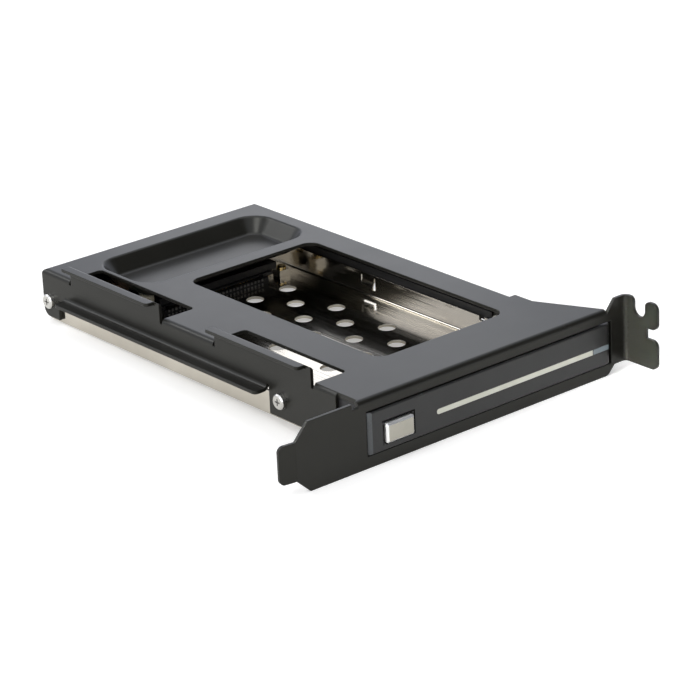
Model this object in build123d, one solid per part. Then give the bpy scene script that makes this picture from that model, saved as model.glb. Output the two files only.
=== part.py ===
from build123d import *
import math
import os

os.makedirs("parts", exist_ok=True)

# Mobile rack for one 2.5 inch drive, on a full-height expansion slot bracket.
# Modelled from the bracket's corner: X runs along the bracket from the tongue's shoulder
# datum to the screw tab, Y runs from the bracket's front face into the case, and Z is up
# from the bracket's lower edge. The finished parts are moved so that the origin lies under
# the middle of the whole rack.

# Holes and screws repeat, so they have few sides
round_sides = 20

# Folded sheet
sheet = 0.9
bend_in = 0.5
flange_bend_in = 1.0
fold_in = 1.1

# Slot bracket
bracket_length = 120.02
bracket_width = 18.42
tongue_width = 10.19
tongue_drop = 0.3
tongue_root = 7.2
tongue_length = 5.0
tongue_tilt = 7.0
tongue_corner = 1.6
tongue_overlap = 0.1
tab_shift = 2.54
tab_reach = 11.43
step_run = 2.5
screw_slot_width = 4.3
screw_slot_y = -4.95
screw_slot_floor = 16.0
end_notch_low = 10.7
end_notch_high = 13.6
end_notch_depth = 4.0
tab_corner = 1.9
slot_lead = 1.5
step_corner = 1.8
rise_start = 7.3
rise_end = 4.7

# Cover
cover_left = 27.3
cover_width = 75.3
cover_depth = 134.4
wall_front = 8.7
right_wall_front = 25.5
wedge_shoulder = 18.9
wedge_step = 1.0
wedge_end = 7.7
bend_relief = 2.1
window_left = 49.5
window_side = 9.7
window_front = 17.8
window_corner = 3.5

# Lanced tabs on the left wall, with lips that turn outwards
slot_width = 10.0
slot_corner = 1.2
tab_height = 4.2
lip_width = 2.7
lip_corner = 1.2
tab_relief = 0.9
lip_setback = 2.0
front_tab_y = 18.1
tab_spacing = 23.4
rear_tab_length = 40.2
rear_tab_end = 13.8

# Lower edge of the left wall: two ears and a flange between them
ear_bottom = 5.0
front_ear_end = 35.2
rear_ear_length = 7.0
rear_wall_low = 5.6
ear_corner = 2.5
flange_reach = 3.8
flange_corner = 1.2
flange_top = 11.7
flange_front = 36.2
flange_rear_gap = 3.2
screw_z = 9.9
front_screw_y = 30.2
rear_screw_inset = 3.4
screw_head_radius = 2.1
screw_head_height = 1.5
screw_radius = 1.2
screw_hole_clearance = 0.15

# Stamped pocket behind the window
pocket_width = 25.9
pocket_depth = 4.4
pocket_taper = 38.0
pocket_corner = 7.0
pocket_rim = 1.0
pocket_floor_round = 1.5
pocket_rear = 6.9
pocket_gap = 4.6
pocket_left_side = 11.7
pocket_right_side = 5.1

# Perforated drive tray
tray_sheet = 0.8
tray_gap = 0.05
spacer_thickness = 0.6
spacer_radius = 2.0
tray_bottom = 3.4
tray_wall_height = 7.1
tray_bend = 0.6
tray_front_gap = 0.1
tray_rear_gap = 0.3
hole_radius = 2.5
hole_pitch_x = 11.75
hole_pitch_y = 10.64
hole_first_y = 27.8
hole_shift = -0.4
hole_columns = 4
last_hole_gap = 4.0
stop_wall_inset = 18.2
stop_wall_width = 9.2
stop_wall_height = 8.4
finger_y = 81.9
finger_width = 5.0
finger_slit = 0.45
finger_low = 1.9
finger_bulge = 0.65
finger_sheet = 0.4
wall_slot_y = 35.2
wall_slot_length = 2.1
wall_slot_low = 5.0
wall_slot_height = 1.4

# Door and its opening
door_left = 29.9
door_end = 6.62
door_proud = 0.5
door_bevel = 1.1
door_low = 3.5
door_top_drop = 3.67
door_gap = 0.3
door_gap_top = 0.4
door_depth = 6.2
door_wall = 1.0
door_skin = 1.4
door_back_sheet = 1.2
door_edge = 0.25
hinge_inset = 3.2
hinge_depth = 2.0
hinge_radius = 0.8
hinge_clearance = 0.05
hinge_block = 6.9
heel_round = 1.6
pad_length = 30.0
pad_shift = 8.0
pad_corner = 1.5
pad_height = 5.0
pad_depth = 2.0

# Button, latch and lights in the door
button_left = 35.0
button_width = 9.1
button_low = 5.35
button_height = 5.3
button_proud = 1.0
button_gap = 0.4
button_corner = 0.6
button_flange = 0.75
button_travel = 1.2
button_round = 0.55
spring_inset = 2.4
spring_radius = 1.1
spring_wire = 0.3
spring_turns = 4
spring_facets = 10
boss_radius = 1.7
latch_thickness = 1.1
latch_height = 3.2
nose_height = 2.4
nose_reach = 0.9
leg_width = 1.2
strip_left = 52.2
strip_end = 6.85
strip_low = 7.65
strip_height = 1.4
strip_flange = 0.8
lens_length = 5.8
lens_depth = 0.8
lens_gap = 0.3

# Moulded frame behind the bracket
frame_depth = 8.0
frame_wall = 1.3
frame_foot = 2.3
frame_top_gap = 0.62
frame_shelf = 2.3
frame_ledge = 0.3
bay_margin = 0.1
light_board_sheet = 0.8
light_board_width = 7.5
light_board_low = 5.0
light_board_high = 13.5

# Backplane
board_sheet = 1.0
board_z = 7.0
board_left_gap = 1.2
board_front_inset = 18.4
board_arm_inset = 24.1
board_rear_gap = 0.6
receptacle_width = 39.4
receptacle_side = 13.2
receptacle_depth = 6.3
receptacle_lead = 0.6
receptacle_step = 2.5
receptacle_wall = 1.2
receptacle_block = 1.9
receptacle_setback = 0.9
mouth_low = 1.7
mouth_high = 2.7
ledge_height = 1.0
ledge_overhang = 2.0
ledge_foot = 3.0
lug_gap = 2.4
lug_length = 3.6
lug_width = 3.2
lug_height = 1.9
lug_screw_radius = 1.4
lug_screw_height = 1.0
contact_pitch = 1.27
contact_thickness = 0.25
data_contacts_count = 7
power_contacts_count = 15
connector_height = 5.6
connector_depth = 5.7
connector_wall = 1.1
connector_tongue = 1.2
connector_inset = 1.4
port_spacing = 2.0
data_width = 15.6
power_side = 3.6
power_width = 24.0
port_gap = 0.4
key_width = 1.6
fixing_inset = 3.4
choke_clearance = 1.2
capacitor_clearance = 1.5
stud_radius = 2.3
board_screw_radius = 1.0
board_screw_head = 2.0

bend_out = bend_in + sheet
cover_right = cover_left + cover_width
cover_inner_left = cover_left + sheet
cover_inner_right = cover_right - sheet
cover_under = bracket_width - sheet
pocket_under = cover_under - pocket_depth
door_high = bracket_width - door_top_drop
cover_back = cover_depth - sheet
tongue_low = (bracket_width - tongue_width) / 2 - tongue_drop
tongue_high = tongue_low + tongue_width
tab_low = tab_shift
tab_high = tab_shift + bracket_width
step_x = bracket_length - 5
wedge_tip = bracket_length - wedge_end
door_right = bracket_length - door_end
opening_left = door_left - door_gap
opening_right = door_right + door_gap + 0.1
opening_low = door_low - door_gap
opening_high = door_high + door_gap_top
hinge_x = door_right - hinge_inset
hinge_y = hinge_depth
door_inside = door_depth - door_back_sheet
strip_right = door_right - strip_end
frame_back = sheet + frame_depth
spring_x = button_left + button_width - spring_inset
press_rear = door_inside - button_travel - 0.1
latch_back = door_inside - 0.15
latch_front = latch_back - latch_thickness
strike_z = button_low + button_height / 2
tray_left = cover_inner_left + tray_gap
tray_right = cover_inner_right - spacer_thickness
tray_inner_left = tray_left + tray_sheet
tray_inner_right = tray_right - tray_sheet
tray_floor = tray_bottom + tray_sheet
tray_top = tray_bottom + tray_wall_height
tray_front = frame_back + tray_front_gap
tray_rear = cover_back - tray_rear_gap
stop_wall_y = cover_depth - stop_wall_inset
rear_screw_y = cover_depth - rear_screw_inset
pocket_front = cover_depth - pocket_rear - pocket_width
pocket_left = cover_left + pocket_left_side
pocket_right = cover_right - pocket_right_side
window_right = cover_right - window_side
window_back = pocket_front - pocket_gap
rear_tab_y = cover_depth - rear_tab_end - rear_tab_length
front_tab_length = rear_tab_y - tab_spacing - front_tab_y
board_front = cover_depth - board_front_inset
board_arm_front = cover_depth - board_arm_inset
receptacle_right = cover_right - receptacle_side
receptacle_left = receptacle_right - receptacle_width
board_arm_right = receptacle_left - 0.5
board_rear = tray_rear - board_rear_gap
board_left = tray_inner_left + board_left_gap
board_right = tray_inner_right - 0.4
board_top = board_z + board_sheet
receptacle_front = board_arm_front - receptacle_lead
receptacle_rear = receptacle_front + receptacle_depth
power_left = board_right - power_side - power_width
data_left = power_left - port_spacing - data_width

# The origin lies under the middle of the whole rack
tongue_tip = tongue_root + tongue_overlap - tongue_length * math.cos(math.radians(tongue_tilt))
origin_x = (min(tongue_tip, cover_left - flange_reach) + bracket_length) / 2
origin_y = (cover_depth - tab_reach) / 2


def block(x0, x1, y0, y1, z0, z1):
    return Pos((x0 + x1) / 2, (y0 + y1) / 2, (z0 + z1) / 2) * Box(x1 - x0, y1 - y0, z1 - z0)


def rod_x(radius, x0, x1, y, z):
    return Pos((x0 + x1) / 2, y, z) * Rot(0, 90, 0) * Cylinder(radius, x1 - x0)


def fixing_x(radius, x0, x1, y, z):
    return Pos(x0, y, z) * Rot(0, 90, 0) * extrude(RegularPolygon(radius, round_sides), amount=x1 - x0)


def fixing_z(radius, z0, z1, x, y):
    return Pos(x, y, z0) * extrude(RegularPolygon(radius, round_sides), amount=z1 - z0)


def rod_y(radius, y0, y1, x, z):
    return Pos(x, (y0 + y1) / 2, z) * Rot(90, 0, 0) * Cylinder(radius, y1 - y0)


def rod_z(radius, z0, z1, x, y):
    return Pos(x, y, (z0 + z1) / 2) * Cylinder(radius, z1 - z0)


def outline_xz(points, y0, y1):
    """Prism with an outline in the XZ plane."""
    face = Plane.XZ.offset(-y0) * make_face(Polyline(*points, close=True))
    return extrude(face, amount=-(y1 - y0))


def outline_yz(points, x0, x1):
    """Prism with an outline in the YZ plane."""
    face = Plane.YZ.offset(x0) * make_face(Polyline(*points, close=True))
    return extrude(face, amount=x1 - x0)


def outline_xy(points, z0, z1):
    """Prism with an outline in the XY plane."""
    face = Plane.XY.offset(z0) * make_face(Polyline(*points, close=True))
    return extrude(face, amount=z1 - z0)


def edges_at(shape, axis, **place):
    """Straight edges along an axis whose middle lies at the given places."""
    found = []
    for edge in shape.edges().filter_by(axis):
        middle = edge.center()
        near = all(abs(getattr(middle, name) - value) < 0.02 for name, value in place.items())
        if near:
            found.append(edge)
    return found


def rounded_slab(x0, x1, y0, y1, z0, z1, corner):
    slab = block(x0, x1, y0, y1, z0, z1)
    return fillet(slab.edges().filter_by(Axis.Z), corner)


def main_shell():
    """Cover with bends to its left, right and rear walls, still with whole walls."""
    outer = block(cover_left, cover_right, 0, cover_depth, ear_bottom, bracket_width)
    rim = [e for e in outer.edges() if abs(e.center().Z - bracket_width) < 0.01]
    outer = fillet(rim, bend_out)
    inner = block(
        cover_inner_left, cover_inner_right, sheet, cover_depth - sheet, ear_bottom - 1, cover_under
    )
    rim = [e for e in inner.edges() if abs(e.center().Z - cover_under) < 0.01]
    inner = fillet(rim, bend_in)
    return outer - inner


def front_wedge():
    """Front strip of the cover, with the bend down to the bracket and the wedge to the right."""
    outer = block(cover_left, wedge_tip, 0, right_wall_front, 0, bracket_width)
    outer = fillet(edges_at(outer, Axis.X, Y=0, Z=bracket_width), bend_out)
    inner = block(cover_left - 1, wedge_tip + 1, sheet, right_wall_front + 1, -1, cover_under)
    inner = fillet(edges_at(inner, Axis.X, Y=sheet, Z=cover_under), bend_in)
    strip = outer - inner
    shoulder_x = cover_right + wedge_step
    waste = outline_xy(
        [
            (shoulder_x, right_wall_front + 1),
            (shoulder_x, wedge_shoulder),
            (wedge_tip, bend_out),
            (wedge_tip + 2, bend_out),
            (wedge_tip + 2, right_wall_front + 1),
        ],
        cover_under - bend_in,
        bracket_width + 1,
    )
    return strip - waste


def slot_plate():
    """Bracket plate and screw tab, folded at the tab, cut to the standard outline."""
    plate = block(tongue_root, bracket_length, 0, sheet, 0, tab_high)
    tab = block(bracket_length - sheet, bracket_length, -tab_reach, sheet, tab_low, tab_high)
    plate -= block(step_x, bracket_length + 1, -1, sheet + 1, -1, tab_low)
    folded = plate + tab
    folded = fillet(edges_at(folded, Axis.Z, X=bracket_length - sheet, Y=0), fold_in)
    folded = fillet(edges_at(folded, Axis.Z, X=bracket_length, Y=sheet), fold_in + sheet)
    shoulder = (bracket_width - tongue_width) / 2
    bend_line = bracket_width - bend_out
    outline = outline_xz(
        [
            (tongue_root, tongue_low),
            (tongue_root + shoulder, 0),
            (step_x - step_run, 0),
            (step_x, tab_low),
            (bracket_length + 1, tab_low),
            (bracket_length + 1, tab_high),
            (bracket_length - rise_end, tab_high),
            (bracket_length - rise_start, bracket_width - bend_in),
            (wedge_tip - 0.2, bend_line),
            (cover_left, bend_line),
            (cover_left - bend_relief, bend_line),
            (cover_left - bend_relief, bracket_width),
            (tongue_root + shoulder, bracket_width),
            (tongue_root, tongue_high),
        ],
        -tab_reach - 1,
        sheet + 1,
    )
    plate = folded & outline
    return fillet(edges_at(plate, Axis.Y, X=step_x - step_run, Z=0), step_corner)


def screw_tab_cuts():
    """Open slot for the case screw, notch in the tab's end, and the tab's rounded corners."""
    x0 = bracket_length - 2 * sheet
    x1 = bracket_length + 1
    half = screw_slot_width / 2
    centre_z = screw_slot_floor + half
    cuts = rod_x(half, x0, x1, screw_slot_y, centre_z)
    cuts += block(x0, x1, screw_slot_y - half, screw_slot_y + half, centre_z, tab_high + 1)
    cuts += block(
        x0, x1, -tab_reach - 1, -tab_reach + end_notch_depth, end_notch_low, end_notch_high
    )
    return cuts


def tongue():
    """Tongue below the shoulders, set back a little at its root."""
    flat = block(-tongue_length, 0, 0, sheet, tongue_low, tongue_high)
    ends = edges_at(flat, Axis.Y, X=-tongue_length)
    flat = fillet(ends, tongue_corner)
    return Pos(tongue_root + tongue_overlap, 0, 0) * Rot(0, 0, -tongue_tilt) * flat


def lanced_tab(y0, length):
    """Piece of the left wall that stands above the cover, with its lip turned outwards."""
    lip_top = bracket_width + tab_height
    lip_edge = cover_left - lip_width
    wall_foot = bracket_width - bend_out - 1
    wall = block(cover_left, cover_inner_left, y0, y0 + length, wall_foot, lip_top)
    lip = block(lip_edge, cover_inner_left, y0 + lip_setback, y0 + length, lip_top - sheet, lip_top)
    lip = fillet(edges_at(lip, Axis.Z, X=lip_edge, Y=y0 + lip_setback), lip_corner)
    tab = wall + lip
    tab = fillet(edges_at(tab, Axis.Y, X=cover_left, Z=lip_top - sheet), bend_in)
    outside = block(lip_edge - 1, cover_inner_left, y0 - 1, y0 + length + 1, wall_foot, lip_top)
    return tab & fillet(edges_at(outside, Axis.Y, X=cover_inner_left, Z=lip_top), bend_out)


def side_slot(y0, length):
    """Opening in the cover beside a lanced tab, with room at the tab's ends."""
    return rounded_slab(
        cover_inner_left - 2 * slot_corner,
        cover_inner_left + slot_width,
        y0 - tab_relief,
        y0 + length + tab_relief,
        bracket_width - bend_out - 0.1,
        bracket_width + 1,
        slot_corner,
    )


def wall_waste(x0, x1, front, with_flange):
    """What is cut away below and before a side wall, leaving its two ears."""
    waste = block(x0, x1, -1, front, -1, bracket_width - 0.01 if with_flange else cover_under)
    waste += block(x0, x1, front_ear_end, flange_front, -1, flange_top + flange_bend_in + 0.2)
    rear_ear_front = cover_depth - rear_ear_length
    floor = flange_top if with_flange else flange_top - sheet
    waste += block(x0, x1, flange_front - 0.01, rear_ear_front - flange_rear_gap, -1, floor)
    waste += block(x0, x1, rear_ear_front - flange_rear_gap - 0.01, rear_ear_front, -1, flange_top - sheet)
    return waste


def bottom_flange():
    """Outward flange between the ears of the left wall."""
    y1 = cover_depth - rear_ear_length - flange_rear_gap
    z0 = flange_top - sheet
    wall = block(cover_left, cover_inner_left, flange_front, y1, z0, flange_top + 3)
    lip = block(cover_left - flange_reach, cover_inner_left, flange_front, y1, z0, flange_top)
    flange = wall + lip
    flange = fillet(edges_at(flange, Axis.Y, X=cover_left, Z=flange_top), flange_bend_in)
    flange = fillet(edges_at(flange, Axis.Y, X=cover_inner_left, Z=z0), flange_bend_in + sheet)
    corners = edges_at(flange, Axis.Z, X=cover_left - flange_reach)
    return fillet(corners, flange_corner)


def pocket_hollow(top, grow, rim, floor_round):
    """Hollow of the stamping below the level top, with tapered sides and a round floor edge."""
    flare = pocket_rim * math.tan(math.radians((90 - pocket_taper) / 2))
    length = pocket_right - pocket_left + 2 * (grow - flare)
    width = pocket_width + 2 * (grow - flare)
    draw = extrude(
        RectangleRounded(length, width, pocket_corner + grow),
        amount=pocket_depth, dir=(0, 0, -1), taper=pocket_taper,
    )
    draw = fillet(draw.edges().group_by(Axis.Z)[0], floor_round)
    if rim:
        margin = 2 * rim
        whole = Pos(0, 0, -pocket_depth / 2) * Box(
            length + 2 * margin, width + 2 * margin, pocket_depth + 0.002
        )
        whole = Pos(0, 0, -0.001) * whole
        mould = whole - draw
        top_edges = [
            e for e in mould.edges()
            if abs(e.center().Z) < 0.01
            and abs(e.center().X) < length / 2 + 0.01
            and abs(e.center().Y) < width / 2 + 0.01
        ]
        draw = whole - fillet(top_edges, rim)
    middle = ((pocket_left + pocket_right) / 2, pocket_front + pocket_width / 2, top)
    return Pos(*middle) * draw


def make_cover_bracket():
    """Cover, left and right walls, rear wall, bracket, tongue and screw tab: one folded sheet."""
    shell = main_shell()
    shell -= block(cover_inner_right - bend_in, cover_right + 1, -1, right_wall_front, -1, bracket_width + 1)
    shell -= block(cover_left - 1, cover_inner_left - 0.2, -1, wall_front, -1, bracket_width + 1)
    shell -= wall_waste(cover_left - 1, cover_inner_left + bend_in, wall_front, True) & block(
        cover_left - 1, cover_inner_left + bend_in, -1, cover_depth, -1, cover_under - bend_in
    )
    shell -= wall_waste(cover_inner_right - bend_in, cover_right + 1, right_wall_front, False)
    shell -= block(cover_inner_left, cover_inner_right, cover_back - 1, cover_depth + 1, -1, rear_wall_low)
    shell -= block(cover_left - 1, cover_right + 1, -1, sheet + bend_in + 0.1, -1, bracket_width + 1)
    for x in (cover_left, cover_inner_right):
        corner = block(x - 0.1, x + sheet + 0.1, cover_depth - ear_corner, cover_depth + 1, -1, ear_bottom + ear_corner)
        corner -= rod_x(
            ear_corner, x - 1, x + sheet + 1, cover_depth - ear_corner, ear_bottom + ear_corner
        )
        shell -= corner

    wedge = front_wedge()
    strip_back = right_wall_front + 1
    wedge -= block(cover_left - 1, cover_inner_left - 0.2, bend_out, strip_back, -1, bracket_width + 1)
    wedge -= block(cover_left - 1, wedge_tip + 1, -1, sheet + 1, -1, bracket_width - bend_out)
    body = shell + wedge + slot_plate() + tongue() + bottom_flange()
    body -= screw_tab_cuts()
    for y0, length in ((front_tab_y, front_tab_length), (rear_tab_y, rear_tab_length)):
        body -= side_slot(y0, length)
        body -= block(
            cover_left - 1, cover_inner_left + bend_in, y0 - tab_relief, y0 + length + tab_relief,
            bracket_width - bend_out - 0.1, bracket_width + 1,
        )
        body += lanced_tab(y0, length)
    body -= rounded_slab(
        window_left, window_right, window_front, window_back,
        cover_under - 1, bracket_width + 1, window_corner,
    )
    body -= block(opening_left, opening_right, -1, sheet + 1, opening_low, opening_high)
    hollow = pocket_hollow(bracket_width, 0, pocket_rim, pocket_floor_round)
    slant = math.radians(pocket_taper)
    wall_offset = sheet / math.cos(slant) - sheet * math.tan(slant)
    body -= hollow
    body += pocket_hollow(cover_under, wall_offset, 0, pocket_floor_round + sheet) - hollow
    hole = screw_radius + screw_hole_clearance
    for y in (front_screw_y, rear_screw_y):
        body -= fixing_x(hole, cover_left - 1, cover_inner_left + 1, y, screw_z)
        body -= fixing_x(hole, cover_inner_right - 1, cover_right + 1, y, screw_z)
    port_low = board_top - port_gap
    port_high = board_top + connector_height + port_gap
    for left, width in ((data_left, data_width), (power_left, power_width)):
        body -= block(
            left - port_gap, left + width + port_gap, cover_back - 1, cover_depth + 1, port_low, port_high
        )
    body = fillet(edges_at(body, Axis.X, Y=-tab_reach), tab_corner)
    slot_edges = []
    for side in (-1, 1):
        slot_edges += edges_at(body, Axis.X, Y=screw_slot_y + side * screw_slot_width / 2, Z=tab_high)
    return fillet(slot_edges, slot_lead)


def make_drive_tray():
    """Perforated channel with turned-up walls, a rear stop wall and a sprung finger."""
    outer = block(tray_left, tray_right, tray_front, tray_rear, tray_bottom, tray_top)
    outer = fillet(
        edges_at(outer, Axis.Y, X=tray_left, Z=tray_bottom)
        + edges_at(outer, Axis.Y, X=tray_right, Z=tray_bottom),
        tray_bend + tray_sheet,
    )
    inner = block(tray_inner_left, tray_inner_right, tray_front - 1, tray_rear + 1, tray_floor, tray_top + 1)
    inner = fillet(
        edges_at(inner, Axis.Y, X=tray_inner_left, Z=tray_floor)
        + edges_at(inner, Axis.Y, X=tray_inner_right, Z=tray_floor),
        tray_bend,
    )
    tray = outer - inner
    middle = (tray_left + tray_right) / 2 + hole_shift
    rows = int((receptacle_front - last_hole_gap - hole_first_y) / hole_pitch_y) + 1
    for row in range(rows):
        y = hole_first_y + row * hole_pitch_y
        count = hole_columns + row % 2
        start = middle - (count - 1) * hole_pitch_x / 2
        for column in range(count):
            tray -= fixing_z(hole_radius, tray_bottom - 1, tray_floor + 1, start + column * hole_pitch_x, y)
    tray += block(
        tray_inner_right - stop_wall_width, tray_inner_right, stop_wall_y, stop_wall_y + tray_sheet,
        tray_floor - 0.1, tray_floor + stop_wall_height,
    )
    finger_foot = tray_floor + finger_low
    finger_root = tray_top - tray_sheet
    side = finger_width / 2 + finger_slit
    tray -= block(
        tray_inner_right - 0.1, tray_right + 0.1, finger_y - side, finger_y + side, finger_foot, finger_root
    )
    tray += sprung_finger(finger_foot, finger_root)
    slot_foot = tray_floor + wall_slot_low
    tray -= block(
        tray_inner_right - 0.1, tray_right + 0.1, wall_slot_y - wall_slot_length / 2,
        wall_slot_y + wall_slot_length / 2, slot_foot, slot_foot + wall_slot_height,
    )
    for y in (front_screw_y, rear_screw_y):
        tray -= fixing_x(screw_radius, tray_left - 1, tray_inner_left + 1, y, screw_z)
        tray -= fixing_x(screw_radius, tray_inner_right - 1, tray_right + 1, y, screw_z)
    return tray


def sprung_finger(z0, z1):
    """Finger lanced from the right wall; its lower part leans in and holds the drive without play."""
    face = tray_inner_right
    tip = face - finger_bulge
    strip = outline_xz(
        [
            (face, z1 + 0.1),
            (face, z0 + 2.4),
            (tip, z0 + 0.9),
            (tip, z0 + 0.3),
            (tip + finger_sheet, z0 + 0.3),
            (tip + finger_sheet, z0 + 1.0),
            (face + finger_sheet, z0 + 2.6),
            (face + finger_sheet, z1 + 0.1),
        ],
        finger_y - finger_width / 2,
        finger_y + finger_width / 2,
    )
    return strip


def make_tray_screws():
    """Pan-head screws through the ears into the tray's walls."""
    screws = []
    for y in (front_screw_y, rear_screw_y):
        for seat, end in ((cover_left, tray_inner_left), (cover_right, tray_inner_right)):
            side = -1 if seat < end else 1
            top = seat + side * screw_head_height
            head = fixing_x(screw_head_radius, min(seat, top), max(seat, top), y, screw_z)
            head = chamfer([e for e in head.edges() if abs(e.center().X - top) < 0.01], 0.35)
            screws.append(head + fixing_x(screw_radius, min(seat, end), max(seat, end), y, screw_z))
    return Compound(children=screws)


def make_wall_spacers():
    """Nylon washers between the right wall of the cover and the tray."""
    rings = []
    for y in (front_screw_y, rear_screw_y):
        ring = fixing_x(spacer_radius, tray_right, cover_inner_right, y, screw_z)
        ring -= fixing_x(screw_radius, tray_right - 1, cover_inner_right + 1, y, screw_z)
        rings.append(ring)
    return Compound(children=rings)


def wedge_edge(y):
    """X of the slanted right edge of the cover's front strip."""
    slope = (wedge_end_x() - wedge_tip) / (wedge_shoulder - bend_out)
    return wedge_tip + slope * (y - bend_out)


def wedge_end_x():
    return cover_right + wedge_step


def make_front_frame():
    """Moulded frame behind the bracket: door cavity, hinge bores, strike and drive opening."""
    left = opening_left - frame_wall
    right = opening_right + frame_shelf
    low = opening_low - frame_foot
    high = cover_under - frame_top_gap
    body = block(left, right, sheet, frame_back, low, high)
    body -= outline_xz(
        [(step_x - step_run, -1), (step_x - step_run, 0), (step_x + 2, step_run + 2), (step_x + 9, -1)],
        0, frame_back + 1,
    )
    shelf_y = door_depth + door_gap + 0.1
    back_wall = frame_back - 1.0
    body -= block(opening_left, opening_right, 0, shelf_y, opening_low, opening_high)
    bay_right = tray_inner_right + 0.2
    body -= block(bay_right + 0.5, opening_right, shelf_y - 0.1, back_wall, opening_low, opening_high)
    body -= block(
        opening_left + bay_margin, bay_right, shelf_y - 0.1, frame_back + 1,
        tray_floor - 0.1, opening_high - frame_ledge,
    )
    body -= outline_xy(
        [
            (wedge_edge(0) - 0.3, -1),
            (right + 1, -1),
            (right + 1, frame_back + 1),
            (wedge_edge(frame_back + 1) - 0.3, frame_back + 1),
        ],
        opening_high - frame_ledge, high + 1,
    )
    body -= rod_z(hinge_radius, low + 1.1, high + 1, hinge_x, hinge_y)
    body -= block(
        left - 1, opening_left + 0.1, latch_front - 0.25, latch_back + 0.3,
        strike_z - nose_height / 2 - 0.3, strike_z + nose_height / 2 + 0.3,
    )
    return body


def make_hinge_pin():
    """Steel pin, seated in the frame's lower bore and held by its cap."""
    low = opening_low - frame_foot + 1.1
    high = cover_under - frame_top_gap
    return rod_z(hinge_radius, low, high, hinge_x, hinge_y)


def door_form():
    """Outside of the moulded door, with its bevelled left end and rounded hinge end."""
    front = -door_proud
    form = outline_xy(
        [
            (door_left, door_inside),
            (door_left, front + door_bevel - 0.3),
            (door_left + door_bevel, front),
            (door_right, front),
            (door_right, door_depth),
            (door_right - hinge_block, door_depth),
            (door_right - hinge_block, door_inside),
        ],
        door_low, door_high,
    )
    form = fillet(edges_at(form, Axis.Z, X=door_right, Y=front), heel_round)
    rim = [e for e in form.edges().filter_by(Axis.X) if abs(e.center().Y - front) < 0.01]
    return chamfer(rim, door_edge)


def button_recess(gap):
    recess = block(
        button_left - gap, button_left + button_width + gap, -door_proud - button_proud, door_skin + 1,
        button_low - gap, button_low + button_height + gap,
    )
    return fillet(recess.edges().filter_by(Axis.Y), button_corner + gap)


def make_door_panel():
    """Hollow moulded door with a solid hinge end."""
    body = door_form()
    body -= block(
        door_left + door_wall, door_right - hinge_block, door_skin, door_depth,
        door_low + door_wall, door_high - door_wall,
    )
    body -= rod_z(hinge_radius + hinge_clearance, door_low - 1, door_high + 1, hinge_x, hinge_y)
    body -= button_recess(button_gap)
    body -= light_strip_form(0.04)
    body -= activity_lens_form(0.04)
    body -= block(
        door_left - 1, door_left + door_wall + 1, latch_front - 0.15, door_depth + 1,
        strike_z - nose_height / 2 - 0.15, strike_z + nose_height / 2 + 0.15,
    )
    return body


def light_strip_form(gap):
    """Bar that shows through the door's slot, with its rounded left end."""
    half = strip_height / 2 + gap
    z = strip_low + strip_height / 2
    middle = strip_left + strip_height / 2
    bar = block(middle, strip_right + gap, -door_proud, door_skin, z - half, z + half)
    return bar + rod_y(half, -door_proud, door_skin, middle, z)


def activity_lens_form(gap):
    left = strip_right + lens_gap
    return block(
        left - gap, left + lens_length + gap, -door_proud, lens_depth, strip_low - gap, strip_low + strip_height + gap
    )


def make_light_pipe():
    """Clear light pipe with a flange that lies against the inside of the door's skin."""
    flange = block(
        strip_left - strip_flange, strip_right - 0.3, door_skin, door_skin + 1.1,
        strip_low - strip_flange, strip_low + strip_height + strip_flange,
    )
    return light_strip_form(0) + flange


def make_door_back():
    """Lid that closes the hollow door."""
    lid = block(
        door_left, door_right - hinge_block - 0.05, door_inside, door_depth, door_low, door_high
    )
    return fillet(edges_at(lid, Axis.Z, X=door_left, Y=door_depth), 0.4)


def make_door_pad():
    """Rubber pad that holds the drive home."""
    middle = (door_left + door_right) / 2 - pad_shift
    z = (door_low + door_high) / 2
    pad = block(
        middle - pad_length / 2, middle + pad_length / 2, door_depth, door_depth + pad_depth,
        z - pad_height / 2, z + pad_height / 2,
    )
    return fillet(pad.edges().filter_by(Axis.Y), pad_corner)


def make_button():
    """Button cap with its retaining flange, spring boss and the wedge leg that draws the latch."""
    front = -door_proud - button_proud
    cap = block(
        button_left, button_left + button_width, front, door_skin + 0.2,
        button_low, button_low + button_height,
    )
    cap = fillet(cap.edges().filter_by(Axis.Y), button_corner)
    cap = chamfer([e for e in cap.edges() if abs(e.center().Y - front) < 0.01], button_round)
    flange_front = door_skin + 0.15
    flange_back = flange_front + button_flange
    cap += block(
        button_left - button_flange, button_left + button_width + button_flange, flange_front, flange_back,
        button_low - button_flange, button_low + button_height + button_flange,
    )
    cap += rod_y(boss_radius, door_skin, press_rear, spring_x, strike_z)
    cap -= rod_y(spring_radius + spring_wire / 2 + 0.1, 0.4, door_depth, spring_x, strike_z)
    leg_left = button_left + 0.5
    leg_front = flange_back - 0.05
    leg = outline_xy(
        [
            (leg_left, leg_front),
            (leg_left + leg_width + (press_rear - leg_front), leg_front),
            (leg_left + leg_width, press_rear),
            (leg_left, press_rear),
        ],
        strike_z - nose_height / 2, strike_z + nose_height / 2,
    )
    return cap + leg


def make_button_spring():
    """Compression spring between the button and the door's lid."""
    start = 0.4 + spring_wire / 2
    length = door_inside - start - spring_wire / 2
    points = []
    for index in range(spring_turns * spring_facets + 1):
        angle = 2 * math.pi * index / spring_facets
        y = start + length * index / (spring_turns * spring_facets)
        points.append(
            (spring_x + spring_radius * math.cos(angle), y, strike_z + spring_radius * math.sin(angle))
        )
    path = Polyline(*points)
    section = Plane(origin=path @ 0, z_dir=path % 0) * RegularPolygon(spring_wire / 2, 5)
    return sweep(section, path=path, transition=Transition.RIGHT)


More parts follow.
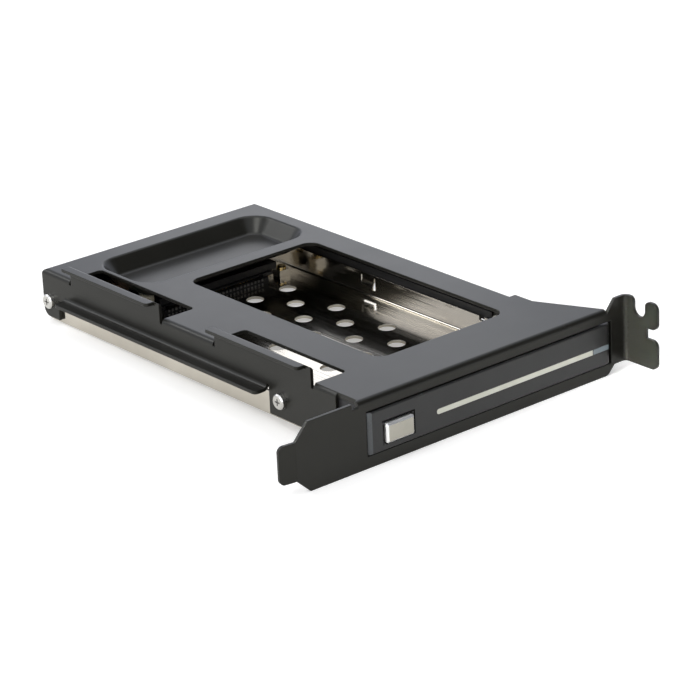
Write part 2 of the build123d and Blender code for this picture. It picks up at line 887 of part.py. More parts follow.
def make_latch():
    """Latch slider: nose to the left, window with a sloped wall that the wedge leg pushes."""
    leg_left = button_left + 0.5
    slope_x = leg_left + leg_width + (press_rear - latch_front) + 0.08
    slider_left = door_left + door_wall + 0.3
    body = block(
        slider_left, slope_x + 1.8, latch_front, latch_back, strike_z - latch_height / 2, strike_z + latch_height / 2
    )
    body += block(
        door_left - nose_reach, slider_left + 0.2, latch_front, latch_back,
        strike_z - nose_height / 2, strike_z + nose_height / 2,
    )
    window_start = leg_left - button_travel - 0.2
    window = outline_xy(
        [
            (window_start, latch_front - 1),
            (slope_x + 1, latch_front - 1),
            (slope_x - latch_thickness, latch_back),
            (slope_x - latch_thickness - 1, latch_back + 1),
            (window_start, latch_back + 1),
        ],
        strike_z - nose_height / 2 - 0.15, strike_z + nose_height / 2 + 0.15,
    )
    return body - window


def make_activity_lens():
    return activity_lens_form(0) & door_form()


def make_light_board():
    """Small board with the indicator lamps, on the frame beside the drive's way in."""
    left = tray_right + spacer_thickness + 0.6
    return block(
        left, left + light_board_width, frame_back, frame_back + light_board_sheet,
        light_board_low, light_board_high,
    )


def make_backplane():
    """Circuit board behind the drive, with an arm beside the receptacle and a notch for the stop wall."""
    body = block(board_left, board_right, board_front, board_rear, board_z, board_top)
    body += block(board_left, board_arm_right, board_arm_front, board_front + 1, board_z, board_top)
    body -= block(
        tray_inner_right - stop_wall_width - 1.0, board_right + 1, board_front - 1,
        stop_wall_y + tray_sheet + 0.6, board_z - 1, board_top + 1,
    )
    for x, y in board_fixings():
        body -= fixing_z(board_screw_radius + 0.25, board_z - 1, board_top + 1, x, y)
    return body


def board_fixings():
    return (
        (board_left + fixing_inset, board_arm_front + fixing_inset),
        (board_left + fixing_inset, board_rear - fixing_inset),
        (board_right - fixing_inset, board_rear - 11.5),
    )


def make_board_standoffs():
    posts = []
    height = board_z - tray_floor
    for x, y in board_fixings():
        post = Pos(x, y, tray_floor) * extrude(RegularPolygon(stud_radius, 6), amount=height)
        post -= fixing_z(board_screw_radius, tray_floor + 0.8, board_z + 1, x, y)
        posts.append(post)
    return Compound(children=posts)


def make_board_screws():
    screws = []
    for x, y in board_fixings():
        head = fixing_z(board_screw_head, board_top, board_top + 1.3, x, y)
        head = chamfer(head.edges().group_by(Axis.Z)[-1], 0.3)
        screws.append(head + fixing_z(board_screw_radius, tray_floor + 1.4, board_top, x, y))
    return Compound(children=screws)


def make_receptacle():
    """Drive connector on the board's front edge, open to the drive, with a ledge over its block."""
    block_right = receptacle_right - receptacle_step
    rear = receptacle_rear
    body = block(
        receptacle_left, block_right, receptacle_front, rear, tray_floor, tray_floor + receptacle_block
    )
    body += block(
        receptacle_left, receptacle_right, receptacle_front + receptacle_setback, rear,
        tray_floor + receptacle_block - 0.1, board_z,
    )
    body += block(
        receptacle_left, receptacle_right + ledge_overhang, receptacle_front + 2 * receptacle_setback,
        board_front, board_z - 0.1, board_top + ledge_height,
    )
    body += block(
        receptacle_left, receptacle_right, rear - 0.1, board_front + ledge_foot, board_z - 1.2, board_z
    )
    low = tray_floor + mouth_low
    high = tray_floor + mouth_high
    body -= block(
        receptacle_left + receptacle_wall, block_right - receptacle_wall, receptacle_front - 1,
        rear - receptacle_wall, low, high,
    )
    middle = (low + high) / 2
    body += block(
        receptacle_left + 2 * receptacle_wall, block_right - 2 * receptacle_wall, receptacle_front + 1.2,
        rear - 1.1, middle - 0.1, middle + 0.3,
    )
    return body


def contact_row(count, left, y0, y1, z0, z1, width):
    pins = []
    for index in range(count):
        x = left + index * contact_pitch
        pins.append(block(x - width / 2, x + width / 2, y0, y1, z0, z1))
    return pins


def make_receptacle_contacts():
    """Contact strips on the underside of the tongue of the drive connector."""
    count = data_contacts_count + power_contacts_count
    span = (count - 1) * contact_pitch
    x0 = (receptacle_left + receptacle_right - receptacle_step - span) / 2
    top = tray_floor + (mouth_low + mouth_high) / 2 - 0.1
    front = receptacle_front + 1.4
    return Compound(
        children=contact_row(count, x0, front, receptacle_rear - 1.3, top - contact_thickness, top, 0.6)
    )


def make_corner_lug():
    """Small plated block beside the receptacle, on the tray's floor."""
    left = receptacle_right + lug_gap
    front = receptacle_front + receptacle_setback
    return block(left, left + lug_length, front, front + lug_width, tray_floor, tray_floor + lug_height)


def make_lug_screw():
    """Round-headed screw on the corner lug."""
    x = receptacle_right + lug_gap + lug_length / 2
    y = receptacle_front + receptacle_setback + lug_width / 2
    z = tray_floor + lug_height
    head = rod_z(lug_screw_radius, z, z + lug_screw_height, x, y)
    return chamfer(head.edges().filter_by(GeomType.CIRCLE).group_by(Axis.Z)[-1], 0.3)


def rear_plug(left, width):
    """Board connector on the rear edge: shroud, tongue and the key at one end."""
    y0 = cover_depth - connector_depth
    z0 = board_top
    z1 = z0 + connector_height
    body = block(left, left + width, y0, cover_depth, z0, z1)
    floor = y0 + 2 * connector_wall
    body -= block(
        left + connector_wall, left + width - connector_wall, floor, cover_depth + 1,
        z0 + connector_wall, z1 - connector_wall,
    )
    tongue_z = (z0 + z1 - connector_tongue) / 2
    tongue_left = left + connector_wall + connector_inset
    tongue_right = left + width - connector_wall - connector_inset
    tip = cover_depth - connector_inset
    body += block(tongue_left, tongue_right, floor - 0.1, tip, tongue_z, tongue_z + connector_tongue)
    body += block(tongue_right - key_width, tongue_right, floor - 0.1, tip, tongue_z - 1.0, tongue_z + 0.1)
    return body


def rear_contacts(count, left, width):
    tongue_top = board_top + (connector_height + connector_tongue) / 2
    span = (count - 1) * contact_pitch
    first = left + (width - key_width - span) / 2
    front = cover_depth - connector_depth + 2 * connector_wall + 0.1
    back = cover_depth - connector_inset - 0.2
    return Compound(
        children=contact_row(count, first, front, back, tongue_top, tongue_top + contact_thickness, 0.7)
    )


def board_part(x, y, length, width, height, corner=0.0):
    part = block(x - length / 2, x + length / 2, y - width / 2, y + width / 2, board_top, board_top + height)
    if corner:
        part = fillet(part.edges().filter_by(Axis.Z), corner)
    return part


def make_choke():
    """Power choke: a ferrite block with rounded corners."""
    height = pocket_under - choke_clearance - board_top
    return board_part(board_left + 14.3, board_rear - 8.1, 4.8, 7.0, height, 1.0)


def make_filter_capacitor():
    """Can capacitor: a round body with a chamfered top on a square foot."""
    x = board_left + 16.2
    y = board_arm_front + 2.0
    can = rod_z(1.9, board_top + 0.5, pocket_under - capacitor_clearance, x, y)
    can = chamfer(can.edges().filter_by(GeomType.CIRCLE).group_by(Axis.Z)[-1], 0.5)
    return can + board_part(x, y, 3.4, 3.4, 0.6)


def make_controller():
    """Controller chip with its leads."""
    x = board_left + 29.0
    y = board_front + 6.0
    body = Pos(x, y, board_top + 0.75) * Box(6.0, 5.0, 1.1)
    for index in range(8):
        offset = (index - 3.5) * 0.65
        body += Pos(x + offset, y, board_top + 0.2) * Box(0.3, 6.8, 0.4)
    return body


def make_board_passives():
    """Chip resistors and capacitors beside the controller."""
    chips = []
    for row in range(2):
        for column in range(4):
            x = board_left + 36.0 + 2.6 * column
            y = board_front + 3.0 + 2.2 * row
            chips.append(board_part(x, y, 1.6, 0.8, 0.6))
    return Compound(children=chips)


def make_board_lamp():
    return board_part(board_left + 19.7, board_arm_front + 9.7, 1.2, 1.2, 1.5, 0.3)


builders = {
    "cover_bracket": make_cover_bracket,
    "drive_tray": make_drive_tray,
    "tray_screws": make_tray_screws,
    "wall_spacers": make_wall_spacers,
    "front_frame": make_front_frame,
    "hinge_pin": make_hinge_pin,
    "door_panel": make_door_panel,
    "door_back": make_door_back,
    "door_pad": make_door_pad,
    "button_cap": make_button,
    "button_spring": make_button_spring,
    "latch_slider": make_latch,
    "light_pipe": make_light_pipe,
    "activity_lens": make_activity_lens,
    "light_board": make_light_board,
    "backplane_board": make_backplane,
    "board_standoffs": make_board_standoffs,
    "board_screws": make_board_screws,
    "drive_receptacle": make_receptacle,
    "receptacle_contacts": make_receptacle_contacts,
    "corner_lug": make_corner_lug,
    "lug_screw": make_lug_screw,
    "data_connector": lambda: rear_plug(data_left, data_width),
    "data_contacts": lambda: rear_contacts(data_contacts_count, data_left, data_width),
    "power_connector": lambda: rear_plug(power_left, power_width),
    "power_contacts": lambda: rear_contacts(power_contacts_count, power_left, power_width),
    "power_choke": make_choke,
    "filter_capacitor": make_filter_capacitor,
    "controller_chip": make_controller,
    "board_passives": make_board_passives,
    "board_lamp": make_board_lamp,
}

for name, builder in builders.items():
    shape = Pos(-origin_x, -origin_y, 0) * builder()
    export_step(shape, f"parts/{name}.step")
    print(name, "written")
print("origin", round(origin_x, 4), round(origin_y, 4))
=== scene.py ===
import math
import bpy
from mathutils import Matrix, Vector


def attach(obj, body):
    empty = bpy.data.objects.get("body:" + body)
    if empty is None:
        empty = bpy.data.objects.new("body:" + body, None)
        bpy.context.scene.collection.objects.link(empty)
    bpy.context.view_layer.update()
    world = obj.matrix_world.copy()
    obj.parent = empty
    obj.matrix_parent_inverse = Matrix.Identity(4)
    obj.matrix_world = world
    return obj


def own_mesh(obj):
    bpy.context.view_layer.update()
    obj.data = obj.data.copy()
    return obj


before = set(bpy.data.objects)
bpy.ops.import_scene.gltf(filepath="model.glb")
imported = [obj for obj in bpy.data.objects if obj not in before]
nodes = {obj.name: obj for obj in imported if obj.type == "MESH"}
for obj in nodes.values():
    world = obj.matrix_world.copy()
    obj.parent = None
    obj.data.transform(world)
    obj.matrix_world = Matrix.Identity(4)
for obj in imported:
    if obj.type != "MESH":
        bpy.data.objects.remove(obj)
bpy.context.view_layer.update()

mm = 0.001
print("frame loaded,", len(nodes), "nodes")

# corner of the folded sheet in the row frame; the sizes below are mm measured from it
sheetCorner = Vector((-61.1786, -61.485, 0.0))


def place(x, y, z):
    return (sheetCorner + Vector((x, y, z))) * mm


def newMaterial(name):
    mat = bpy.data.materials.new(name)
    mat.use_nodes = True
    tree = mat.node_tree
    shader = tree.nodes["Principled BSDF"]
    return mat, tree, shader


def objectCoords(tree, scale=(1, 1, 1)):
    coords = tree.nodes.new("ShaderNodeTexCoord")
    mapping = tree.nodes.new("ShaderNodeMapping")
    mapping.inputs["Scale"].default_value = scale
    tree.links.new(coords.outputs["Object"], mapping.inputs["Vector"])
    return mapping.outputs["Vector"]


# what the noise of every surface has in common
texture = {
    "wearDetail": 3.0,
    "grainDetail": 2.0,
    "blotchDetail": 4.0,
    "blotchFrom": 0.35,
    "blotchTo": 0.65,
    "edgeSamples": 6,
}


def noise(tree, vector, scale, detail=texture["wearDetail"]):
    node = tree.nodes.new("ShaderNodeTexNoise")
    node.inputs["Scale"].default_value = scale
    node.inputs["Detail"].default_value = detail
    tree.links.new(vector, node.inputs["Vector"])
    return node.outputs["Fac"]


def ramp(tree, factor, stops):
    node = tree.nodes.new("ShaderNodeValToRGB")
    for element, (at, colour) in zip(node.color_ramp.elements, stops):
        element.position = at
        element.color = (*colour, 1.0)
    tree.links.new(factor, node.inputs["Fac"])
    return node.outputs["Color"]


def spread(tree, factor, low, high):
    node = tree.nodes.new("ShaderNodeMapRange")
    node.inputs["To Min"].default_value = low
    node.inputs["To Max"].default_value = high
    tree.links.new(factor, node.inputs["Value"])
    return node.outputs["Result"]


# each value is a number to set or an output to link
def maths(tree, operation, *values):
    node = tree.nodes.new("ShaderNodeMath")
    node.operation = operation
    for socket, value in zip(node.inputs, values):
        if isinstance(value, float):
            socket.default_value = value
        else:
            tree.links.new(value, socket)
    return node.outputs[0]


# how far a surface faces along one axis, between -1 and 1
def facing(tree, axis):
    coords = tree.nodes.new("ShaderNodeTexCoord")
    split = tree.nodes.new("ShaderNodeSeparateXYZ")
    tree.links.new(coords.outputs["Normal"], split.inputs["Vector"])
    return split.outputs[axis]


def colourMix(tree, factor):
    mix = tree.nodes.new("ShaderNodeMix")
    mix.data_type = "RGBA"
    tree.links.new(factor, mix.inputs["Factor"])
    return mix


# blotchy change between two nearly equal colours
def shade(tree, vector, values):
    blotches = noise(tree, vector, values["blotch"], texture["blotchDetail"])
    stops = [(texture["blotchFrom"], values["dark"]), (texture["blotchTo"], values["light"])]
    return ramp(tree, blotches, stops)


def grain(tree, vector, values):
    return noise(tree, vector, values["grain"], texture["grainDetail"])


# colour, roughness between two bounds, and fine relief over softened edges
def dress(tree, shader, colour, wear, relief, values):
    rough = spread(tree, wear, values["roughLow"], values["roughHigh"])
    tree.links.new(colour, shader.inputs["Base Color"])
    tree.links.new(rough, shader.inputs["Roughness"])
    bump = tree.nodes.new("ShaderNodeBump")
    bump.inputs["Strength"].default_value = values["relief"]
    bump.inputs["Distance"].default_value = values["depth"]
    tree.links.new(relief, bump.inputs["Height"])
    soft = tree.nodes.new("ShaderNodeBevel")
    soft.samples = texture["edgeSamples"]
    soft.inputs["Radius"].default_value = values["edge"]
    tree.links.new(soft.outputs["Normal"], bump.inputs["Normal"])
    tree.links.new(bump.outputs["Normal"], shader.inputs["Normal"])


powderPaint = {
    "dark": (0.0115, 0.0112, 0.0092),
    "light": (0.0145, 0.0141, 0.0118),
    "blotch": 60.0,
    "wear": 140.0,
    "roughLow": 0.27,
    "roughHigh": 0.32,
    "specular": 0.298,
    "specularTint": (1.0, 1.0, 0.93),
    "grain": 2600.0,
    "relief": 0.25,
    "depth": 0.014 * mm,
    "edge": 0.32 * mm,
}


def makePowderPaint():
    values = powderPaint
    mat, tree, shader = newMaterial("powderPaint")
    vec = objectCoords(tree)
    shader.inputs["Specular IOR Level"].default_value = values["specular"]
    shader.inputs["Specular Tint"].default_value = (*values["specularTint"], 1.0)
    colour = shade(tree, vec, values)
    dress(tree, shader, colour, noise(tree, vec, values["wear"]), grain(tree, vec, values), values)
    return mat


nickelPlate = {
    "dark": (0.54, 0.505, 0.435),
    "light": (0.66, 0.62, 0.54),
    "blotch": 45.0,
    "roughLow": 0.08,
    "roughHigh": 0.18,
    "rolling": (850.0, 8.0, 850.0),
    "relief": 0.3,
    "depth": 0.20 * mm,
    "edge": 0.12 * mm,
}
screwSteel = {
    **nickelPlate,
    "dark": (0.50, 0.49, 0.46),
    "light": (0.66, 0.65, 0.61),
    "roughLow": 0.20,
    "roughHigh": 0.34,
    "rolling": (300.0, 300.0, 300.0),
    "depth": 0.002 * mm,
}
turnedBrass = {**screwSteel, "dark": (0.55, 0.40, 0.16), "light": (0.68, 0.52, 0.24)}
contactGold = {**screwSteel, "dark": (0.66, 0.47, 0.18), "light": (0.80, 0.62, 0.28)}


# the lines that rolling leaves carry both the roughness and the relief
def makeMetal(name, values):
    mat, tree, shader = newMaterial(name)
    lines = noise(tree, objectCoords(tree, values["rolling"]), 1.0, texture["grainDetail"])
    shader.inputs["Metallic"].default_value = 1.0
    dress(tree, shader, shade(tree, objectCoords(tree), values), lines, lines, values)
    return mat


plainPlastic = {
    "blotch": 90.0,
    "wear": 220.0,
    "wearReach": 0.04,
    "specular": 0.5,
    "grain": 1800.0,
    "relief": 0.3,
    "depth": 0.015 * mm,
    "edge": 0.15 * mm,
}
# what each plastic has of its own; "rough" is the middle of its roughness
plastics = {
    "nylonRing": {"dark": (0.60, 0.60, 0.56), "light": (0.68, 0.68, 0.64), "rough": 0.45},
    "mouldedFrame": {"dark": (0.010, 0.010, 0.010), "light": (0.014, 0.014, 0.014), "rough": 0.5},
    "padRubber": {
        "dark": (0.018, 0.018, 0.018),
        "light": (0.026, 0.026, 0.026),
        "rough": 0.75,
        "grain": 900.0,
        "depth": 0.05 * mm,
    },
    "greyLens": {
        "dark": (0.20, 0.24, 0.26),
        "light": (0.26, 0.30, 0.32),
        "rough": 0.16,
        "grain": 400.0,
        "depth": 0.004 * mm,
    },
    "connectorBlack": {
        "dark": (0.008, 0.008, 0.008),
        "light": (0.013, 0.013, 0.012),
        "rough": 0.42,
    },
    # lighter than the connector, a painted highlight for the lit edges of the ribs
    "ribHighlightGrey": {"dark": (0.15, 0.148, 0.140), "light": (0.20, 0.197, 0.188), "rough": 0.35},
    # near-black with little gloss, the painted shadow in the gap around the button
    "shadowGapBlack": {
        "dark": (0.002, 0.002, 0.002),
        "light": (0.004, 0.004, 0.004),
        "rough": 0.8,
        "specular": 0.08,
    },
    # darker than the steel, the painted shade inside the screws' cross recesses
    "recessPaintedShade": {"dark": (0.10, 0.095, 0.085), "light": (0.14, 0.135, 0.12), "rough": 0.5},
    "brownFerrite": {"dark": (0.17, 0.105, 0.070), "light": (0.24, 0.150, 0.100), "rough": 0.48},
    "creamPart": {"dark": (0.66, 0.61, 0.48), "light": (0.76, 0.71, 0.58), "rough": 0.32},
    "chipGrey": {"dark": (0.20, 0.17, 0.14), "light": (0.34, 0.30, 0.26), "rough": 0.5},
    "lampWhite": {"dark": (0.70, 0.70, 0.66), "light": (0.80, 0.80, 0.77), "rough": 0.28},
}


def makePlastic(name):
    values = {**plainPlastic, **plastics[name]}
    values["roughLow"] = values["rough"] - values["wearReach"]
    values["roughHigh"] = values["rough"] + values["wearReach"]
    mat, tree, shader = newMaterial(name)
    vec = objectCoords(tree)
    shader.inputs["Specular IOR Level"].default_value = values["specular"]
    colour = shade(tree, vec, values)
    dress(tree, shader, colour, noise(tree, vec, values["wear"]), grain(tree, vec, values), values)
    return mat


doorPlastic = {
    **plainPlastic,
    "dark": (0.013, 0.013, 0.0125),
    "light": (0.0165, 0.0165, 0.016),
    "roughLow": 0.28,
    "roughHigh": 0.36,
    "edge": 0.3 * mm,
    # colour of the slanted left end, a painted highlight
    "slant": (0.062, 0.067, 0.071),
    "slantFacing": -0.59,
    "slantReach": 0.12,
}


# the slanted left end of the door is coloured lighter as a painted highlight, told apart by the way
# it faces
def makeDoorPlastic():
    values = doorPlastic
    mat, tree, shader = newMaterial("doorPlastic")
    vec = objectCoords(tree)
    slanted = maths(
        tree, "COMPARE", facing(tree, "X"), values["slantFacing"], values["slantReach"]
    )
    mix = colourMix(tree, slanted)
    tree.links.new(shade(tree, vec, values), mix.inputs["A"])
    mix.inputs["B"].default_value = (*values["slant"], 1.0)
    colour = mix.outputs["Result"]
    dress(tree, shader, colour, noise(tree, vec, values["wear"]), grain(tree, vec, values), values)
    return mat


silverButton = {
    "dark": (0.43, 0.415, 0.355),
    "light": (0.48, 0.46, 0.395),
    "blotch": 200.0,
    # near-white colour of the chamfer, a painted highlight
    "chamferHighlight": (0.97, 0.965, 0.94),
    "faceFrom": -0.90,
    "faceTo": -0.97,
    "metallic": 0.85,
    "roughLow": 0.36,
    "roughHigh": 0.40,
    "grain": 4200.0,
    "relief": 0.2,
    "depth": 0.008 * mm,
    "edge": 0.2 * mm,
}


# satin face with a turned chamfer coloured near white as a painted highlight, told apart by the way
# the surface faces
def makeSilverButton():
    values = silverButton
    mat, tree, shader = newMaterial("silverButton")
    vec = objectCoords(tree)
    face = tree.nodes.new("ShaderNodeMapRange")
    face.inputs["From Min"].default_value = values["faceFrom"]
    face.inputs["From Max"].default_value = values["faceTo"]
    tree.links.new(facing(tree, "Y"), face.inputs["Value"])
    mix = colourMix(tree, face.outputs["Result"])
    mix.inputs["A"].default_value = (*values["chamferHighlight"], 1.0)
    tree.links.new(shade(tree, vec, values), mix.inputs["B"])
    shader.inputs["Metallic"].default_value = values["metallic"]
    colour = mix.outputs["Result"]
    dress(tree, shader, colour, face.outputs["Result"], grain(tree, vec, values), values)
    return mat


paleStrip = {
    "dark": (0.70, 0.70, 0.60),
    "light": (0.77, 0.77, 0.68),
    "blotch": 120.0,
    "wear": 260.0,
    "roughLow": 0.24,
    "roughHigh": 0.34,
    "glow": 0.2,
    "glowRadius": (0.6 * mm, 0.6 * mm, 0.5 * mm),
    "grain": 900.0,
    "relief": 0.1,
    "depth": 0.01 * mm,
    "edge": 0.1 * mm,
}


def makePaleStrip():
    values = paleStrip
    mat, tree, shader = newMaterial("paleStrip")
    vec = objectCoords(tree)
    shader.inputs["Subsurface Weight"].default_value = values["glow"]
    shader.inputs["Subsurface Radius"].default_value = values["glowRadius"]
    colour = shade(tree, vec, values)
    dress(tree, shader, colour, noise(tree, vec, values["wear"]), grain(tree, vec, values), values)
    return mat


circuitBoard = {
    "mask": (0.006, 0.010, 0.008),
    "track": (0.012, 0.022, 0.016),
    "maskTo": 0.30,
    "trackFrom": 0.38,
    "cells": 420.0,
    "wear": 500.0,
    "roughLow": 0.28,
    "roughHigh": 0.40,
    "relief": 0.2,
    "depth": 0.03 * mm,
    "edge": 0.08 * mm,
}


def makeCircuitBoard():
    values = circuitBoard
    mat, tree, shader = newMaterial("circuitBoard")
    vec = objectCoords(tree)
    cells = tree.nodes.new("ShaderNodeTexVoronoi")
    cells.inputs["Scale"].default_value = values["cells"]
    cells.distance = "MANHATTAN"
    tree.links.new(vec, cells.inputs["Vector"])
    height = cells.outputs["Distance"]
    stops = [(values["maskTo"], values["mask"]), (values["trackFrom"], values["track"])]
    dress(tree, shader, ramp(tree, height, stops), noise(tree, vec, values["wear"]), height, values)
    return mat


finishes = {
    "powderPaint": makePowderPaint(),
    "nickelPlate": makeMetal("nickelPlate", nickelPlate),
    "screwSteel": makeMetal("screwSteel", screwSteel),
    "turnedBrass": makeMetal("turnedBrass", turnedBrass),
    "contactGold": makeMetal("contactGold", contactGold),
    "doorPlastic": makeDoorPlastic(),
    "silverButton": makeSilverButton(),
    "paleStrip": makePaleStrip(),
    "circuitBoard": makeCircuitBoard(),
}
for name in plastics:
    finishes[name] = makePlastic(name)

finishOf = {
    "cover_bracket": "powderPaint",
    "drive_tray": "nickelPlate",
    "tray_screws": "screwSteel",
    "wall_spacers": "nylonRing",
    "front_frame": "mouldedFrame",
    "hinge_pin": "screwSteel",
    "door_panel": "doorPlastic",
    "door_back": "mouldedFrame",
    "door_pad": "padRubber",
    "button_cap": "silverButton",
    "button_spring": "screwSteel",
    "latch_slider": "mouldedFrame",
    "light_pipe": "paleStrip",
    "activity_lens": "greyLens",
    "light_board": "circuitBoard",
    "backplane_board": "circuitBoard",
    "board_standoffs": "turnedBrass",
    "board_screws": "screwSteel",
    "drive_receptacle": "connectorBlack",
    "receptacle_contacts": "contactGold",
    "corner_lug": "nickelPlate",
    "lug_screw": "turnedBrass",
    "data_connector": "connectorBlack",
    "data_contacts": "contactGold",
    "power_connector": "connectorBlack",
    "power_contacts": "contactGold",
    "power_choke": "brownFerrite",
    "filter_capacitor": "creamPart",
    "controller_chip": "connectorBlack",
    "board_passives": "chipGrey",
    "board_lamp": "lampWhite",
}
for name, node in nodes.items():
    node.data.materials.clear()
    node.data.materials.append(finishes[finishOf[name]])
print("materials made,", len(finishes))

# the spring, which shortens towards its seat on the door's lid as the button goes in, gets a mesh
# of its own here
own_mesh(nodes["button_spring"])


def makeBox(name, low, high, body, finish, bevel):
    bpy.ops.object.select_all(action="DESELECT")
    bpy.ops.mesh.primitive_cube_add(size=1.0)
    box = bpy.context.object
    box.name = name
    centre = (place(*low) + place(*high)) / 2
    bpy.ops.object.mode_set(mode="EDIT")
    bpy.ops.mesh.select_all(action="SELECT")
    bpy.ops.transform.resize(value=[(b - a) * mm for a, b in zip(low, high)])
    bpy.ops.transform.translate(value=centre)
    bpy.ops.mesh.bevel(offset=bevel * mm, segments=1)
    bpy.ops.object.mode_set(mode="OBJECT")
    box.data.materials.append(finishes[finish])
    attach(box, body)
    return box


def repeat(piece, count, step):
    bpy.ops.object.select_all(action="DESELECT")
    bpy.context.view_layer.objects.active = piece
    piece.select_set(True)
    bpy.ops.object.modifier_add(type="ARRAY")
    row = piece.modifiers[-1]
    row.count = count
    row.use_relative_offset = False
    row.use_constant_offset = True
    row.constant_offset_displace = [value * mm for value in step]
    bpy.ops.object.modifier_apply(modifier=row.name)


# two rows of small ribs on the front of the drive connector, coloured lighter grey than the black
# connector as a painted highlight on their edges
ribs = {
    "pitch": 1.27,
    "width": 0.55,
    "count": 27,
    "left": 51.3,
    "front": 109.45,
    "back": 109.75,
    "upper": (5.35, 6.05),
    "lower": (4.25, 4.7),
    "bevel": 0.05,
}
for name in ("upper", "lower"):
    foot, top = ribs[name]
    rib = makeBox(
        name + "Ribs",
        (ribs["left"], ribs["front"], foot),
        (ribs["left"] + ribs["width"], ribs["back"], top),
        "chassis", "ribHighlightGrey", ribs["bevel"],
    )
    repeat(rib, ribs["count"], (ribs["pitch"], 0, 0))

# dark film inside the cover's right wall, over the gap between that wall and the tray's
liner = {
    "left": 101.2,
    "right": 101.68,
    "low": 9.4,
    "high": 12.3,
    "ends": ((25.8, 28.15), (32.25, 128.95)),
    "bevel": 0.05,
}
for index, (front, back) in enumerate(liner["ends"]):
    makeBox(
        "wallLiner" + str(index),
        (liner["left"], front, liner["low"]),
        (liner["right"], back, liner["high"]),
        "chassis", "mouldedFrame", liner["bevel"],
    )

# flat dark crosses on the heads of the screws through the cover's side walls, painted shade in
# place of their cross recesses
cross = {
    "long": 1.9,
    "wide": 0.42,
    "depth": 0.04,
    "height": 9.9,
    "faces": (25.8, 104.1),
    "rows": (30.2, 131.0),
    "bevel": 0.015,
}
crossArms = ((cross["long"], cross["wide"]), (cross["wide"], cross["long"]))
crossPlaces = [(x, y) for x in cross["faces"] for y in cross["rows"]]
for index, (x, y) in enumerate(crossPlaces):
    for arm, (spanY, spanZ) in enumerate(crossArms):
        makeBox(
            "screwCross" + str(index) + "arm" + str(arm),
            (x - cross["depth"], y - spanY / 2, cross["height"] - spanZ / 2),
            (x + cross["depth"], y + spanY / 2, cross["height"] + spanZ / 2),
            "chassis", "recessPaintedShade", cross["bevel"],
        )

# black strips around the button's opening as painted shadow in its gap, half as wide on its left
shadowSurround = {
    "left": 34.6,
    "right": 44.5,
    "low": 4.95,
    "high": 11.05,
    "wide": 0.45,
    "front": -0.52,
    "back": -0.3,
    "bevel": 0.01,
}
outerLeft = shadowSurround["left"] - shadowSurround["wide"]
halfLeft = shadowSurround["left"] - shadowSurround["wide"] / 2
outerRight = shadowSurround["right"] + shadowSurround["wide"]
outerTop = shadowSurround["high"] + shadowSurround["wide"]
surroundSides = {
    "Top": (outerLeft, outerRight, shadowSurround["high"], outerTop),
    "Right": (shadowSurround["right"], outerRight, shadowSurround["low"], shadowSurround["high"]),
    "Left": (halfLeft, shadowSurround["left"], shadowSurround["low"], shadowSurround["high"]),
}
for name, (left, right, low, high) in surroundSides.items():
    makeBox(
        "shadowSurround" + name,
        (left, shadowSurround["front"], low),
        (right, shadowSurround["back"], high),
        "door", "shadowGapBlack", shadowSurround["bevel"],
    )
print("added pieces made")

darkFlag = {"centre": (0.63, -0.62, 0.64), "size": 0.98, "tone": (0.01, 0.01, 0.01)}


# black card that only reflections see, as a studio puts in front of glossy paint
def makeFlag():
    bpy.ops.object.select_all(action="DESELECT")
    bpy.ops.mesh.primitive_plane_add(size=darkFlag["size"])
    flag = bpy.context.object
    flag.name = "darkFlag"
    centre = Vector(darkFlag["centre"])
    turn = centre.to_track_quat("Z", "Y")
    for point in flag.data.vertices:
        point.co = turn @ point.co + centre
    mat, tree, shader = newMaterial("flagCloth")
    shader.inputs["Base Color"].default_value = (*darkFlag["tone"], 1.0)
    shader.inputs["Roughness"].default_value = 1.0
    shader.inputs["Specular IOR Level"].default_value = 0.0
    flag.data.materials.append(mat)
    flag.visible_camera = False
    flag.visible_diffuse = False
    flag.visible_shadow = False


# "slope" lets the floor rise to the back, and "sink" lays it a hair under the object
studioFloor = {
    "size": 6.0,
    "slope": 0.0254,
    "sink": 0.00002,
    "tone": (0.86, 0.86, 0.86),
    "rough": 0.9,
    "specular": 0.1,
    "cameraGlow": 0.34,
    "glossyGlow": 0.15,
}


def makeFloor():
    bpy.ops.object.select_all(action="DESELECT")
    bpy.ops.mesh.primitive_plane_add(size=studioFloor["size"])
    floor = bpy.context.object
    floor.name = "studioFloor"
    for point in floor.data.vertices:
        behind = point.co.y - sheetCorner.y * mm
        point.co.z = studioFloor["slope"] * behind - studioFloor["sink"]
    mat, tree, shader = newMaterial("floorPaper")
    shader.inputs["Base Color"].default_value = (*studioFloor["tone"], 1.0)
    shader.inputs["Roughness"].default_value = studioFloor["rough"]
    shader.inputs["Specular IOR Level"].default_value = studioFloor["specular"]
    shader.inputs["Emission Color"].default_value = (1, 1, 1, 1)
    rays = tree.nodes.new("ShaderNodeLightPath").outputs
    glossy = maths(tree, "MULTIPLY", rays["Is Glossy Ray"], studioFloor["glossyGlow"])
    glow = maths(
        tree, "MULTIPLY_ADD", rays["Is Camera Ray"], studioFloor["cameraGlow"], glossy
    )
    tree.links.new(glow, shader.inputs["Emission Strength"])
    floor.data.materials.append(mat)


# "fill" lights the object, "gloss" is what its reflections see
sky = {"fill": 0.42, "gloss": (0.83, 0.87, 1.0)}


def background(tree, colour=(1, 1, 1), strength=1.0):
    node = tree.nodes.new("ShaderNodeBackground")
    node.inputs["Color"].default_value = (*colour, 1.0)
    node.inputs["Strength"].default_value = strength
    return node.outputs[0]


def shaderMix(tree, factor, first, second):
    node = tree.nodes.new("ShaderNodeMixShader")
    for socket, value in zip(node.inputs, (factor, first, second)):
        tree.links.new(value, socket)
    return node.outputs[0]


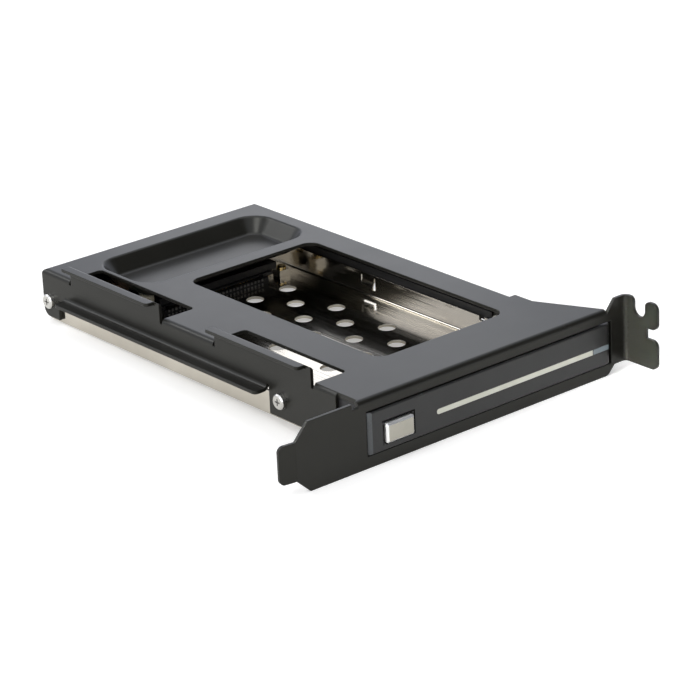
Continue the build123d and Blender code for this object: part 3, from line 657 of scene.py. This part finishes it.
def makeSky():
    world = bpy.data.worlds.new("studioSky")
    bpy.context.scene.world = world
    world.use_nodes = True
    tree = world.node_tree
    tree.nodes.clear()
    out = tree.nodes.new("ShaderNodeOutputWorld")
    rays = tree.nodes.new("ShaderNodeLightPath").outputs
    fill = background(tree, strength=sky["fill"])
    gloss = background(tree, colour=sky["gloss"])
    lighting = shaderMix(tree, rays["Is Glossy Ray"], fill, gloss)
    straight = maths(tree, "MAXIMUM", rays["Is Camera Ray"], rays["Is Transmission Ray"])
    seen = shaderMix(tree, straight, lighting, background(tree))
    tree.links.new(seen, out.inputs["Surface"])


# "aim" is the point a lamp looks at, the frame's origin where it isn't given
lamps = {
    "overheadSoft": {"spot": (0.05, 0.10, 1.1), "size": (1.0, 1.0), "power": 3.6},
    "backSoft": {"spot": (1.15, 1.25, 0.80), "size": (1.5, 0.7), "power": 0.8},
    "rightSoft": {
        "spot": (0.33, 0.40, 0.18),
        "aim": (0.02, 0.02, 0.01),
        "size": (0.18, 0.10),
        "power": 0.06,
    },
    "rearLeftEdge": {"spot": (-0.55, 1.05, 0.84), "size": (0.5, 0.4), "power": 2.4},
    "leftSoft": {"spot": (-1.2, -0.45, 0.45), "size": (0.9, 0.7), "power": 4.2},
    "leftHigh": {"spot": (-0.80, -0.20, 0.95), "size": (0.5, 0.5), "power": 5.0},
    "tabBeam": {
        "spot": (-0.50, -0.092, 0.12),
        "aim": (0.058, -0.068, 0.018),
        "size": (0.03, 0.03),
        "power": 0.014,
        "spread": 4.0,
    },
}


def makeLamp(name, values):
    data = bpy.data.lights.new(name, "AREA")
    data.shape = "RECTANGLE"
    data.size, data.size_y = values["size"]
    data.energy = values["power"]
    if "spread" in values:
        data.spread = math.radians(values["spread"])
    lamp = bpy.data.objects.new(name, data)
    bpy.context.scene.collection.objects.link(lamp)
    lamp.location = values["spot"]
    look = Vector(values.get("aim", (0, 0, 0))) - Vector(values["spot"])
    lamp.rotation_euler = look.to_track_quat("-Z", "Y").to_euler()


photoCamera = {
    "place": (-0.464, -0.582801, 0.306272),
    "turn": (67.9176, 2.3151, -40.3405),
    "lens": 155.234,
    "sensorWidth": 36.0,
    "clipStart": 0.01,
}


def makeCamera():
    data = bpy.data.cameras.new("photoCamera")
    data.lens = photoCamera["lens"]
    data.sensor_width = photoCamera["sensorWidth"]
    data.clip_start = photoCamera["clipStart"]
    camera = bpy.data.objects.new("photoCamera", data)
    bpy.context.scene.collection.objects.link(camera)
    camera.location = photoCamera["place"]
    camera.rotation_euler = [math.radians(angle) for angle in photoCamera["turn"]]
    bpy.context.scene.camera = camera


makeFlag()
makeFloor()
makeSky()
for name, values in lamps.items():
    makeLamp(name, values)
makeCamera()
bpy.context.scene.view_settings.view_transform = "Standard"
print("studio set")
